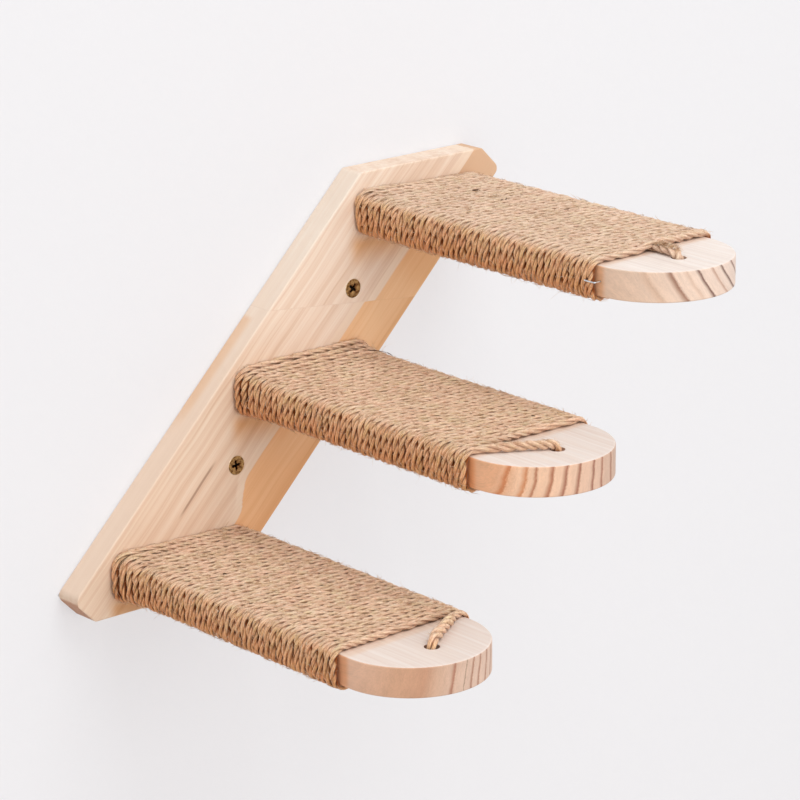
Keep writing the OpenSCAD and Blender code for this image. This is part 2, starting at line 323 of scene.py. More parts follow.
# %% Wall and floor
WALL_GAP, OPENING_INSET, WALL_REACH = 0.3, 1.0, 1800.0
# share of the wall's brightness that no shadow takes away
WALL_TONE = 0.6
FLOOR = [(-4000, -5000, -1500), (4000, -5000, -1500), (4000, 4000, -1500), (-4000, 4000, -1500)]


def board_outline(inset):
    """Corners of the leaning board on the wall, moved in by inset.

    It is a strip along the grain, cut level at z = +-h / 2, with its sharp corners cut off square at +-reach.
    """
    half_w, half_h = BOARD["w"] / 2 - inset, BOARD["h"] / 2 - inset
    reach = (BOARD["h"] / 2 + (BOARD["w"] / 2 - BOARD["cut"]) * math.cos(lean)) / math.sin(lean) - inset
    cut_c = -(half_h - reach * math.sin(lean)) / math.cos(lean)
    level_s = (half_h - half_w * math.cos(lean)) / math.sin(lean)
    upper = [(reach, half_w), (reach, cut_c), (level_s, -half_w)]
    corners = upper + [(-s, -c) for s, c in upper]
    return [(s + BOARD["shift"]) * ALONG + c * ACROSS for s, c in corners]


def paint(name, colour, roughness, texture):
    """Matt paint whose faint unevenness is fine noise + 1.5 broad noise."""
    g = Graph(name, Roughness=roughness, Specular_IOR_Level=0.2)
    place = g.place()
    height = g.add(g.noise(place, 60.0, 4.0), g.mul(g.noise(place, 9.0, 2.0), 1.5))
    g.put(g.shader.inputs["Normal"], g.bump(height, texture, 0.002))
    g.shader.inputs["Base Color"].default_value = colour
    return g


def wall_finish():
    """Paint + WALL_TONE (light - paint) to the camera, to gloss and to clear things, and clear behind."""
    g = paint("wall_paint", (0.88, 0.875, 0.885, 1.0), 0.9, 0.25)
    light = g.node("Emission", (0.85, 0.836, 0.86, 1.0), 1.0)
    ray = g.tree.nodes.new("ShaderNodeLightPath").outputs
    through = g.math("MAXIMUM", ray["Is Glossy Ray"], ray["Is Transmission Ray"])
    seen = g.math("MAXIMUM", ray["Is Camera Ray"], through)
    front = g.choose(g.mul(seen, WALL_TONE), g.shader.outputs[0], light)
    behind = g.node("NewGeometry", out=6)
    g.put(g.output.inputs[0], g.choose(behind, front, g.node("BsdfTransparent")))
    return g.material


sheet = [(x, WALL_GAP, z) for x, z in WALL_REACH * np.array([(-1, -1), (1, -1), (1, 1), (-1, 1)])]
opening = [(p[0], WALL_GAP, p[2]) for p in board_outline(OPENING_INSET)]
outlines = [[Vector((x, z, 0)) for x, _, z in ring] for ring in (sheet, opening)]
wall = mesh_piece("stage_wall", sheet + opening, tessellate_polygon(outlines), wall_finish(), False)
for polygon in [p for p in wall.data.polygons if p.normal.y > 0]:
    polygon.flip()
floor_paint = paint("floor_paint", (0.70, 0.67, 0.64, 1.0), 0.85, 0.1).material
floor = mesh_piece("stage_floor", FLOOR, [(0, 1, 2, 3)], floor_paint, False)
print("wall: %d triangles round an opening with %d corners" % (len(wall.data.polygons), len(opening)))

# %% [markdown]
# ## Light
# The photograph has the even light of a studio, with a soft shadow low on the wall. A sky alone would give
# none, and a small lamp a hard one, so a large square lamp hangs high in front, a second one fills from low
# in front, and a dim one serves the views from behind.

# %% Light
SKY, SKY_STRENGTH = (1.0, 0.985, 0.975, 1.0), 0.64
# name, place and aim in metres, side of the square in metres, watts and colour
LAMPS = [
    ("key_light", (0.1, -1.5, 2.0), (0.0, -0.1, 0.0), 1.4, 23.0, (0.96, 0.99, 1.0)),
    ("front_light", (0.1, -2.3, 0.25), (0.0, 0.0, 0.0), 1.2, 17.4, (1.0, 0.99, 0.98)),
    ("back_light", (0.4, 2.0, 1.4), (0.0, 0.0, 0.0), 1.2, 10.0, (1.0, 1.0, 1.0)),
]


def softbox(name, place, aim, size, power, colour):
    """Square area light at place, turned so that its -Z points along aim - place."""
    data = bpy.data.lights.new(name, "AREA")
    data.shape, data.size, data.energy, data.color = "SQUARE", size, power, colour
    light = bpy.data.objects.new(name, data)
    light.location = place
    light.rotation_euler = (Vector(aim) - Vector(place)).to_track_quat("-Z", "Y").to_euler()
    bpy.context.scene.collection.objects.link(light)


world = bpy.data.worlds.new("studio")
world.use_nodes = True
sky = world.node_tree.nodes["Background"].inputs
sky[0].default_value, sky[1].default_value = SKY, SKY_STRENGTH
bpy.context.scene.world = world
for lamp in LAMPS:
    softbox(*lamp)
bpy.context.scene.view_settings.view_transform = "Standard"
print("lamps:", ", ".join("%s %.1f W" % (lamp[0], lamp[4]) for lamp in LAMPS))

# %% [markdown]
# ## Pine for the backboard
# The board is glued up from a pale stave and an orange one of heartwood, and a finger joint crosses both.
# A flat picture of wood would break at every edge. A solid texture doesn't: what shows on a face is where
# it cuts the grain. So the board has coordinates s along the grain, c across it and y through it, and its
# streaks are noise drawn out along s, sixty to ninety times as long as they are wide.

# %% Grain of the backboard
X_MM, Y_MM, Z_MM = np.eye(3) / MM
# the joint lies where s = JOINT + JOINT_SLOPE c
JOINT, JOINT_SLOPE = 53.8, 0.807
# where the pale stave meets the heartwood: (s, c) below the joint, and c above it
LOW_EDGE = [(-130, 30), (-95, 24), (-84, 22.5), (-76, 17), (-68, 12.6), (-58, 11.6), (-25, 12), (33, 13.6),
            (63, 13.4), (130, 14)]
HIGH_EDGE = 19.6
PALE_STAVE = [(0.0, srgb(219, 189, 164)), (0.3, srgb(231, 204, 182)), (0.55, srgb(237, 214, 194)),
              (0.8, srgb(242, 223, 205)), (1.0, srgb(246, 230, 214))]
HEART_STAVE = [(0.0, srgb(232, 182, 134)), (0.4, srgb(239, 192, 146)), (0.7, srgb(243, 199, 155)),
               (1.0, srgb(247, 207, 165))]


def board_grain(g, s, c, y):
    """Grain: tone = 0.45 bands + 0.45 streaks + 0.1 fibres, each a noise drawn out along s.

    Above the joint, at upper = 1, the grain is another piece of wood, so it is read 137 mm further across.
    """
    waver = g.drawn((s, 0.012), (c, 0.02), (y, 0.02), 2.0)
    waved = g.add(c, g.spread(waver, -2.2, 2.2, 0.3))
    joint = g.less(s, g.add(g.mul(c, JOINT_SLOPE), JOINT))
    upper = g.ramp(joint, -0.25, 0.25)
    shifted = g.add(waved, g.mul(upper, 137.0))
    bands = g.drawn((s, 0.0022), (shifted, 0.14), (y, 0.05), 2.0, 0.5)
    streaks = g.drawn((s, 0.006), (shifted, 0.55), (y, 0.3), 3.0, 0.62)
    fibres = g.drawn((s, 0.05), (shifted, 3.2), (y, 3.2), 3.0, 0.6)
    tone = g.add(g.mul(bands, 0.45), g.add(g.mul(streaks, 0.45), g.mul(fibres, 0.1)))
    return waved, joint, upper, streaks, fibres, tone


def board_staves(g, s, c, upper, streaks, tone):
    """Pale pine, and heartwood where c is past an edge that steps at the joint and curls round low down."""
    pale = g.colours(g.spread(tone, 0.0, 1.0, 0.16), PALE_STAVE)
    heart = g.colours(g.spread(tone, 0.0, 1.0, 0.16), HEART_STAVE)
    heart = g.stain(heart, g.ramp(s, 20.0, -60.0), 250, 238, 226)
    # painted shade: above s = 85 the heartwood is stained a little darker, as shade under the top tread
    heart = g.stain(heart, g.ramp(s, 85.0, 105.0), 251, 244, 234)
    heart = g.mix(g.mul(g.ramp(s, 140.0, 165.0), 0.9), heart, srgb(216, 178, 146))
    pale = g.stain(pale, g.ramp(s, 30.0, -40.0), 247, 239, 231)
    low_edge = g.curve(s, LOW_EDGE, -130, 130)
    edge = g.add(g.mul(upper, HIGH_EDGE), g.mul(g.less(1.0, upper), low_edge))
    past = g.less(g.add(c, g.spread(streaks, -0.9, 0.9)), edge)
    stripe = g.band(past, -8.0, -5.0, -0.6, 0.2)
    colour = g.mix(g.mul(stripe, 0.55), pale, srgb(243, 221, 198))
    return g.mix(g.ramp(past, -0.5, 0.5), colour, heart)


# %% [markdown]
# A real board also has marks of its own: sapwood along one edge, a dark streak of pith and the joint's
# hairline. Painted shade is added too: a warm patch under each tread and a darker strip on the right edge. They
# could be painted on a map, but then they would stop at the faces' edges, so each is a band in s, c or y that
# goes through the solid.


# %% Marks on the backboard
def board_rim(g, colour, s, c, y, tone):
    """The upper left edge, c < -44: plain pale sapwood, with a little heartwood near the wall."""
    rim = g.mix(g.ramp(s, -60.0, 75.0, smooth=False), srgb(238, 213, 192), srgb(241, 227, 212))
    rim = g.mix(g.mul(g.ramp(tone, 0.62, 0.4), 0.3), rim, srgb(232, 205, 182))
    tan = g.mul(g.ramp(y, -11.0, -5.0), g.band(s, -78.0, -50.0, 8.0, 12.0))
    rim = g.mix(g.mul(tan, 0.75), rim, srgb(229, 186, 148))
    return g.mix(g.mul(g.ramp(c, -43.2, -44.9), 0.85), colour, rim)


def board_marks(g, colour, s, c, waved, joint, upper):
    """Dark pith along c = -15 low on the board, the joint's hairline, and painted shade on the rounded right
    edge below it.
    """
    pith = g.mul(g.thin(g.add(waved, 15.0), 0.25, 1.3), g.band(s, -114.0, -104.0, -80.0, -70.0))
    colour = g.mix(g.mul(pith, 0.55), colour, srgb(120, 72, 48))
    colour = g.mix(g.mul(g.thin(joint, 0.1, 0.5), 0.06), colour, srgb(150, 104, 74))
    # painted shade: a slightly darker, warmer strip along the rounded right edge, below the joint
    right_edge_shade = g.mul(g.ramp(c, 40.6, 41.6), g.less(1.0, upper))
    return g.stain(colour, g.mul(right_edge_shade, 0.6), 240, 226, 212)


def painted_rope_shade(g, colour, x, y, z):
    """Painted shade on the board's front: a warm, darker patch below each tread's near corner, where the rope
    shades the wood.
    """
    for step in STEPS.values():
        cx, _, cz = tread_place(step)
        patch = g.mul(g.band(z, cz - 38, cz - 14, cz - 20, cz - 9), g.ramp(y, -16.5, -17.5))
        patch = g.mul(patch, g.band(x, cx - 56, cx - 46, cx - 25, cx + 5))
        colour = g.stain(colour, g.mul(patch, 0.9), 247, 208, 152)
    return colour


def pine_board(name):
    """Staves first, then rim, marks, painted rope shade and darkened end grain, each laid over what is there.
    """
    g = Graph(name, Specular_IOR_Level=0.45)
    place = g.place()
    s, c, y = (g.dot(place, axis) for axis in (ALONG / MM, ACROSS / MM, Y_MM))
    waved, joint, upper, streaks, fibres, tone = board_grain(g, s, c, y)
    colour = board_staves(g, s, c, upper, streaks, tone)
    colour = board_rim(g, colour, s, c, y, tone)
    colour = board_marks(g, colour, s, c, waved, joint, upper)
    colour = painted_rope_shade(g, colour, g.dot(place, X_MM), y, g.dot(place, Z_MM))

    # square-cut ends darker: partly end grain's own colour, partly painted shade for the lower cut, which faces
    # down
    facing = g.math("ABSOLUTE", g.dot(g.node("NewGeometry", out=1), ALONG))
    colour = g.stain(colour, g.mul(g.ramp(facing, 0.78, 0.97), 0.8), 196, 150, 122)
    height = g.add(g.mul(streaks, 0.6), g.mul(fibres, 0.4))
    return g.finish(colour, g.spread(streaks, 0.68, 0.54), g.bump(height, 0.35, 0.0004))


def dress(node, material):
    """Gives a CAD node a new finish on each slot that it has."""
    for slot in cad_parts[node].material_slots:
        slot.material = material


dress("backboard", pine_board("pine_backboard"))
print("backboard: %d nodes in its finish" % len(bpy.data.materials["pine_backboard"].node_tree.nodes))

# %% [markdown]
# ## Pine for the treads
# A tread's nose is cut across the grain, so its latewood shows as dark lines, and the top only as faint
# streaks. One solid texture gives both. A line on the nose leans, so its place is not x but
# u = x + (g0 + g1 x) z, where z is the height above the tread's middle. The rings are listed by u, in
# millimetres from the tread's middle line, with the width and the display colour of each line.

# %% Rings of the treads
RING_REACH = 46.0
LONG_GRAIN = [(0.0, srgb(228, 212, 202)), (0.4, srgb(234, 221, 212)), (0.75, srgb(238, 228, 221)),
              (1.0, srgb(242, 233, 227))]


def rings_from(base, lines):
    """Stops (u, colour) for latewood lines (u, width, colour) on a base of (u, colour) points.

    A line darkens from the base over its width and is back at it after 0.45 width, as summer wood does.
    """
    base_u = [b[0] for b in base]
    stops = list(base)
    for u, width, colour in lines:
        ground = tuple(float(np.interp(u, base_u, [b[1][k] for b in base])) for k in range(3))
        stops += [(u - width, ground), (u, colour), (u + width * 0.45, ground)]
    return sorted(stops, key=lambda stop: stop[0])


RINGS = {
    "top": rings_from(
        [(-45, (236, 202, 176)), (-30, (232, 202, 180)), (0, (230, 205, 188)), (45, (224, 204, 193))],
        [(-33, 3.0, (220, 184, 158)), (-21.8, 3.4, (156, 112, 90)), (-12.5, 3.0, (218, 186, 164)),
         (-4.6, 2.6, (112, 74, 62)), (6.5, 2.4, (190, 152, 132)), (15.2, 2.6, (108, 72, 62)),
         (28, 2.4, (130, 92, 78))]),
    "middle": rings_from(
        [(-45, (246, 188, 146)), (-42.6, (246, 186, 144)), (-37, (246, 202, 168)), (0, (219, 182, 158)),
         # painted shade in part: the base at u = 45 is darker on the nose's far, right-hand curve
         (45, (192, 164, 149))],
        [(-40.4, 1.4, (212, 124, 70)), (-34.8, 1.8, (212, 138, 92)), (-31.0, 1.4, (170, 102, 68)),
         (-23.8, 2.6, (172, 106, 74)), (-16.4, 2.6, (158, 98, 72)), (-8.1, 2.6, (152, 94, 70)),
         (2.2, 2.4, (144, 90, 70)), (9.7, 2.0, (156, 102, 82)), (20.3, 2.2, (158, 106, 84))]),
    "bottom": rings_from(
        [(-45, (238, 192, 162)), (-36, (218, 170, 138)), (-24, (200, 151, 121)), (-18, (208, 169, 143)),
         (0, (212, 180, 160)), (45, (218, 190, 174))],
        [(-8.0, 2.2, (164, 108, 84)), (0.0, 1.8, (150, 126, 106)), (5.7, 1.8, (158, 110, 88)),
         (12.0, 1.8, (160, 112, 90)), (19.3, 1.8, (164, 116, 94)), (26.3, 1.8, (168, 120, 98))]),
}
# g0 and g1 of each tread
LEANS = {"top": (0.83, 0.012), "middle": (-0.08, 0.0035), "bottom": (-0.16, 0.0)}
print("stops of the rings:", {name: len(stops) for name, stops in RINGS.items()})

# %% [markdown]
# Which of the two shows depends on the way a face looks, so the finish mixes both by the upward part of its
# normal. Where the bare wood meets the rope, a warm tint is painted shade, stronger on faces that look
# sideways.


# %% Finish of the treads
def tread_grain(g, tread, x, y, z, seed):
    """Ring coordinate u = x + (g0 + g1 x) z with a slow waver, and streaks and fibres drawn out along y."""
    g0, g1 = LEANS[tread]
    u = g.add(x, g.mul(g.add(g.mul(x, g1), g0), z))
    waver = g.drawn((x, 0.03), (y, 0.02), g.add(g.mul(z, 0.06), seed), 2.0)
    u = g.add(u, g.spread(waver, -1.1, 1.1, 0.3))
    streaks = g.drawn((u, 0.5), (y, 0.006), g.add(g.mul(z, 0.12), seed), 3.0, 0.6)
    fibres = g.drawn((u, 2.8), (y, 0.05), g.add(g.mul(z, 0.9), seed), 3.0, 0.6)
    return u, streaks, fibres


def pine_tread(tread, seed):
    """Rings on what faces sideways, long grain on what faces up or down, and warm painted shade next to the
    rope.
    """
    g = Graph("pine_tread_" + tread, Specular_IOR_Level=0.45)
    place = g.place()
    centre = tread_place(STEPS[tread])
    x = g.add(g.dot(place, X_MM), -float(centre[0]))
    y = g.dot(place, Y_MM)
    z = g.add(g.dot(place, Z_MM), -float(centre[2]))
    u, streaks, fibres = tread_grain(g, tread, x, y, z, seed)
    pores = g.drawn((x, 3.0), (y, 0.4), (z, 3.0), 2.0, 0.6)

    across = g.ramp(g.add(u, g.spread(fibres, -0.35, 0.35)), -RING_REACH, RING_REACH, smooth=False)
    ring = g.colours(across, [((v + RING_REACH) / (2 * RING_REACH), srgb(*rgb)) for v, rgb in RINGS[tread]])
    fine = g.spread(g.add(g.mul(streaks, 0.5), g.mul(fibres, 0.5)), 0.86, 1.10, 0.18)
    end_colour = g.mix(1.0, ring, g.node("CombineColor", fine, fine, fine), "MULTIPLY")
    tone = g.add(g.mul(streaks, 0.7), g.mul(fibres, 0.3))
    long_colour = g.mix(0.07, g.colours(g.spread(tone, 0.0, 1.0, 0.16), LONG_GRAIN), ring)
    up = g.math("ABSOLUTE", g.dot(g.node("NewGeometry", out=1), (0, 0, 1)))
    colour = g.mix(g.ramp(up, 0.55, 0.9), end_colour, long_colour)

    rope_end = -BOARD["t"] - COVERED[tread]
    # painted shade: the wood within a few mm of the rope's edge is tinted warmer and darker
    shade_by_rope = g.ramp(g.less(y, g.mul(x, 0.05)), rope_end - 4.0, rope_end + 1.0)
    colour = g.stain(colour, g.mul(shade_by_rope, g.ramp(up, 0.55, 0.9, 1.0, 0.45)), 252, 224, 196)
    height = g.add(g.mul(streaks, 0.5), g.mul(g.add(fibres, pores), 0.3))
    return g.finish(colour, g.spread(tone, 0.66, 0.54), g.bump(height, 0.35, 0.0004))


for i, name in enumerate(STEPS):
    dress("tread_" + name, pine_tread(name, 3.7 + 5.1 * i))
    print("tread", name, "dressed, rings lean by", LEANS[name])

# %% [markdown]
# ## The rope's way round a tread
# A real winding is one long rope, each turn beside the last. Rings side by side would be easier to make, but
# they would have no beginning and no end. So the route of the whole rope is found first, as rows of centre,
# outward direction and thickness. Its outer side is a rounded oblong, and its thickness is what is left
# between that and the wood, as a rope pulled over an edge flattens there.

# %% One turn
ROPE = {"w": 5.0, "clear": 0.3, "hole_inset": 27.0, "lay": 23.5}
# thickness pressed on the flat and where the rope is free, and the radius of the oblong's corners
FLAT_T, FREE_T, SHOULDER = 4.2, 5.5, 9.0
HALF = np.array([TREAD["w"] / 2 - TREAD["edge_r"], TREAD["t"] / 2 - TREAD["edge_r"]])
OUTER = HALF + TREAD["edge_r"] + ROPE["clear"] / 2 + FLAT_T - SHOULDER


def smoothstep(x, low, high):
    """0 below low, 1 above high and 3 t^2 - 2 t^3 between them."""
    t = np.clip((x - low) / (high - low), 0, 1)
    return t * t * (3 - 2 * t)


def wood_distance(p):
    """Distance of points from the tread's section: |max(q, 0)| + min(max q, 0) - r, with q = |p| - half."""
    q = np.abs(p) - HALF
    return np.linalg.norm(np.maximum(q, 0), axis=-1) + np.minimum(q.max(axis=-1), 0) - TREAD["edge_r"]


def loop_stations():
    """One turn in the X-Z plane from the middle of the underside: rows of x, z, outward x, z, thickness.

    A station at angle a lies at corner OUTER + SHOULDER (cos a, sin a). Going in from there by the distance
    that is left to the wood, again and again, gives the thickness.
    """
    steps = np.arange(0, 91, 10)
    turned = np.concatenate([[0], *(90 * k + steps for k in range(4)), [360]])
    corner = np.repeat([(0, -1), (-1, -1), (-1, 1), (1, 1), (1, -1), (0, -1)], [1, 10, 10, 10, 10, 1], axis=0)
    a = np.radians(270 - turned)
    out = np.stack([np.cos(a), np.sin(a)], 1)
    face = OUTER * corner + SHOULDER * out
    thick = np.zeros(len(face))
    for _ in range(30):
        thick += wood_distance(face - out * thick[:, None]) - ROPE["clear"] / 2
    centre = face - out * thick[:, None] / 2
    travel = np.concatenate([[0], np.cumsum(np.linalg.norm(np.diff(centre, axis=0), axis=1))])
    return np.column_stack([centre, out, thick]), travel / travel[-1]


# PART is how far round each station is, from 0 to 1, and the rope has come onto the top at TOP_CORNER
LOOP, PART = loop_stations()
TOP_CORNER = 20
print("thickness of the rope: %.1f mm on the flat, %.1f on an edge" % (LOOP[0, 4], LOOP[:, 4].min()))

# %% [markdown]
# Each rope starts under its tread beside the board, and its first turn lies over that start, so the winding
# bulges there. A rope's end runs over the tread's top into a hole in the nose. On the top tread that end
# comes out from under the last turn, which climbs over it and has slipped back.

# %% The whole route
BEND_R, END_DEPTH = 4.0, 15.0
HOLE_L = TREAD["l"] - ROPE["hole_inset"]
SIDE_GAP = ROPE["clear"] + ROPE["w"] / 2
# share of a turn in which the rope steps over to its next place, and how much of it the next turn keeps
STEP_OVER, STEP_KEPT = 0.12, 0.8
# how much of the bulge over the rope's start the next turn keeps
BULGE_KEPT = 0.62
# the last turn over a buried end: its bell's height and width, and its slip, rise and their length
BELL_HIGH, BELL_WIDE, SLIP, SLIP_RISE, SLIP_IN = 2.6, 7.5, 4.4, 0.6, 12.0
# the buried end under the last turns: x, way past the rope's last turn, thickness
BURIED = ((2.2, -15.0, 2.0), (1.8, -9.0, 2.4), (1.4, -5.0, 3.2), (1.0, -1.0, 4.6))
# height of the rope's underside on the tread's top
ROPE_FLOOR = TREAD["t"] / 2 + ROPE["clear"] / 2


def end_rows(start, shares):
    """The loose end: straight over the wood from start, in shares of the way, then round by 90 degrees into
    the hole on a circle of radius BEND_R."""
    height = ROPE_FLOOR + FREE_T / 2
    aim = np.array([0.0, HOLE_L]) - start
    reach = np.linalg.norm(aim)
    aim = aim / reach
    rows = [(*(start + aim * share * (reach - BEND_R)), height, 0, 0, 1, FREE_T) for share in shares]
    for a in np.radians(np.arange(0, 91, 15)):
        out = np.array([aim[0] * np.sin(a), aim[1] * np.sin(a), np.cos(a)])
        p = np.array([-aim[0] * BEND_R, HOLE_L - aim[1] * BEND_R, height - BEND_R]) + out * BEND_R
        rows.append((*p, *out, FREE_T))
    return rows + [(0.0, HOLE_L, TREAD["t"] / 2 - END_DEPTH, aim[0], aim[1], 0.0, FREE_T)]


def buried_end(covered):
    """An end that comes out from under the last turns: pressed flat below them, round where it is free."""
    flat = [(x, covered + past, ROPE_FLOOR + thick / 2, 0, 0, 1, thick) for x, past, thick in BURIED]
    return np.array(flat + end_rows(np.array([0.6, covered + 3.0]), (0.0, 0.5)))


def over_buried(path, covered):
    """The last turns climb over the buried end by near BELL_HIGH exp(-((x - 0.5) / BELL_WIDE)^2), where near
    grows towards the nose. Past that end the last turn has slipped back onto the one before it."""
    s, x, l, z = path[:, :4].T
    begin = s[np.flatnonzero((z > TREAD["t"] / 2) & (x < 0))[-1]]
    near = np.clip((l - covered + 17.0) / 15.0, 0, 1.1) ** 2
    bell = np.where(z > TREAD["t"] / 2, BELL_HIGH * near * np.exp(-((x - 0.5) / BELL_WIDE) ** 2), 0)
    slip = smoothstep(s, begin, begin + SLIP_IN)
    path[:, 3] += bell
    path[:, 2] -= SLIP * slip
    path[:, 1:4] += path[:, 4:7] * (SLIP_RISE * slip)[:, None]
    return path


def rope_route(covered, turns, buried, begin, rise, hold, lift):
    """Rows of x, l, z, outward x, l, z and thickness along a whole rope, l being the way from the board.

    p runs from 0 to 1 round one turn. The rope starts at p = begin of turn 0, and turn 1 lies over that start
    until p = hold, then steps down beside it. Turn n is n - 1 + w f(p) + (1 - w) p turns on, where f is that
    step and w = STEP_KEPT ^ (n - 1): the step becomes an even helix.
    """
    last = 1.0 if buried else PART[TOP_CORNER]
    pitch = (covered - ROPE["clear"] - ROPE["w"] / (2 if buried else 1)) / (turns - 2 + last)
    step = smoothstep(PART, hold, hold + STEP_OVER)
    raised = lift * np.clip((PART - begin) / rise, 0, 1) * (1 - step)
    x, z, ox, oz, thick = LOOP.T
    rows = []
    for n in range(turns):
        weight = STEP_KEPT ** (n - 1)
        advance = (n - 1) + weight * step + (1 - weight) * PART if n else 0 * PART
        up = raised * BULGE_KEPT ** (n - 1) if n else 0 * PART
        keep = (PART >= (0.0 if n else begin)) & (PART <= (last + 1e-6 if n == turns - 1 else 1.0))
        keep[-1] = False
        turn = [x + ox * up, SIDE_GAP + pitch * advance, z + oz * up, ox, 0 * ox, oz, thick]
        rows += np.column_stack(turn)[keep].tolist()
    if not buried:
        rows += end_rows(np.array([-OUTER[0], SIDE_GAP + pitch * (turns - 2 + last)]), (0.25, 0.5, 0.75))
    return np.array(rows), pitch


def resampled(rows, coarse=3.0, fine=1.5):
    """Rows of the way s and the route at s, with a fine step where the rope bends and at its end."""
    seg = np.linalg.norm(np.diff(rows[:, :3], axis=0), axis=1)
    at = np.concatenate([[0], np.cumsum(seg)])
    keep = np.concatenate([[True], seg > 1e-6])
    at, rows = at[keep], rows[keep]
    here, s = 0.0, []
    while here < at[-1]:
        s.append(here)
        bent = np.interp(here, at, rows[:, 6]) < FLAT_T - 0.02
        here += fine if bent or here > at[-1] - 60 else coarse
    s.append(at[-1])
    out = np.column_stack([s] + [np.interp(s, at, column) for column in rows.T])
    out[:, 4:7] /= np.linalg.norm(out[:, 4:7], axis=1, keepdims=True)
    return out


# %% [markdown]
# ## Three strands
# Jute rope is three strands laid together. A bump on a plain tube looks flat along its edge, so each strand
# is a tube of its own. Its centre runs at angle f = 2 pi s / lay + 2 pi k / 3 round the rope's centre line.
# With outward direction n, way t and b = t x n it lies at n A cos f + b B sin f, and A < B because the rope
# is flattened.

# %% Strands laid to a rope
ROPE_WIDE = 5.5
# centre and radius of a strand in a rope of width 1, a little fuller than three that just touch
STRAND_OFF, STRAND_R = 0.265, 0.235
# a strand's way round in UV units
UV_ROUND = 8.8


def wander(s, seed, size, waves=(95.0, 41.0, 23.0)):
    """Slow smooth unevenness along the rope: size times the mean of sin(2 pi s / wave + phase)."""
    rng = np.random.default_rng(seed)
    phase = rng.uniform(0, 2 * np.pi, len(waves))
    return size * sum(np.sin(2 * np.pi * s / w + p) for w, p in zip(waves, phase)) / len(waves)


def rope_body(path, seed, loose):
    """Centre, outward and sideward directions, thickness and width along a rope, all a little uneven.

    Width is ROPE_WIDE (FLAT_T / thickness)^0.4, so a flattened rope is wider. The last 62 mm hang loose, so
    their strands open by the shares loose.
    """
    s, centre, out, thick = path[:, 0], path[:, 1:4].copy(), path[:, 4:7], path[:, 7]
    way = np.gradient(centre, axis=0)
    way /= np.linalg.norm(way, axis=1, keepdims=True)
    out = out - way * (out * way).sum(1, keepdims=True)
    out /= np.linalg.norm(out, axis=1, keepdims=True)
    aside = np.cross(way, out)
    wound = np.clip((s[-1] - 70 - s) / 20, 0, 1)
    centre += aside * (wander(s, seed, 0.45) * wound)[:, None]
    wide = ROPE_WIDE * (FLAT_T / thick) ** 0.4 * (1 + wander(s, seed + 2, 0.07, (53.0, 19.0)))
    thick = thick * (1 + wander(s, seed + 1, 0.08, (61.0, 17.0)) * wound)
    opened = np.clip((s - s[-1] + 62) / 14, 0, 1)
    centre += out * (thick * loose[1] * opened / 2)[:, None]
    return centre, out, aside, thick * (1 + loose[1] * opened), wide * (1 + loose[0] * opened)


def laid_rope(path, seed, loose, sides=8):
    """Points, faces, UVs and point values of three strands along a resampled route.

    The skin of a strand is its centre + out ra cos g + aside rb sin g, where g goes once round. Of the
    values, groove is 1 where a strand faces the rope's middle, depth is how far a point lies below the rope's
    outside as a share of its thickness, and side is 1 on the tread's upright sides.
    """
    s = path[:, 0]
    centre, out, aside, thick, wide = rope_body(path, seed, loose)
    twist = 2 * np.pi * s / ROPE["lay"] + wander(s, seed + 3, 2.6, (310.0, 127.0, 83.0))
    round_by = 2 * np.pi * np.arange(sides) / sides
    i, j = np.divmod(np.arange((len(s) - 1) * sides), sides)
    v0, v1 = j * UV_ROUND / sides, (j + 1) * UV_ROUND / sides
    corners = np.stack([np.stack([s[i + 1], v0], 1), np.stack([s[i + 1], v1], 1),
                        np.stack([s[i], v1], 1), np.stack([s[i], v0], 1)], 1).reshape(-1, 2)
    points, faces, uv, depth = [], [], [], []
    for k in range(3):
        f = twist + 2 * np.pi * k / 3
        uneven = 1 + wander(s, seed + 10 + k, 0.22, (47.0, 19.0, 7.0))
        a, b = thick * STRAND_OFF, wide * STRAND_OFF
        mid = centre + out * (a * np.cos(f))[:, None] + aside * (b * np.sin(f))[:, None]
        ra, rb = (thick * STRAND_R * uneven)[:, None], (wide * STRAND_R * uneven)[:, None]
        g = f[:, None] + np.pi + round_by
        skin = out[:, None] * (ra * np.cos(g))[..., None] + aside[:, None] * (rb * np.sin(g))[..., None]
        points.append((mid[:, None] + skin).reshape(-1, 3))
        depth.append((0.5 - ((a * np.cos(f))[:, None] + ra * np.cos(g)) / thick[:, None]).ravel())
        faces.append(grid_faces(len(s), sides, k * len(s) * sides)[:, ::-1])
        uv.append(corners + (0.0, 40.0 * k))
    values = {"groove": np.tile(0.5 + 0.5 * np.cos(round_by), 3 * len(s)), "depth": np.concatenate(depth),
              "strand": np.repeat(np.arange(3.0), len(s) * sides),
              "side": np.tile(np.repeat(out[:, 0] ** 2, sides), 3)}
    return np.concatenate(points), np.concatenate(faces), np.concatenate(uv), values


# %% [markdown]
# ## Stray fibres
# Jute is hairy. Blender's hair curves would be quick to comb, but the exported model would lose them, so a
# stray fibre is a thin three-sided tube. Most lie on the rope in any direction, some stand up from it, a few
# are long, and a frayed end has the most.

# %% Fibres along a rope
# the kinds are lying, standing, long and at the end: how many, their rise, length and radius
FIBRES, END_FIBRES = (2600, 500, 45), 900
LYING, AT_END = 0, 3
RISES = ((0.0, 0.12), (0.25, 0.9), (0.15, 0.5), (0.1, 0.9))
LENGTHS = ((2.0, 6.5), (1.5, 4.5), (7.0, 13.0), (1.5, 4.5))
RADII = (0.13, 0.1, 0.08, 0.1)


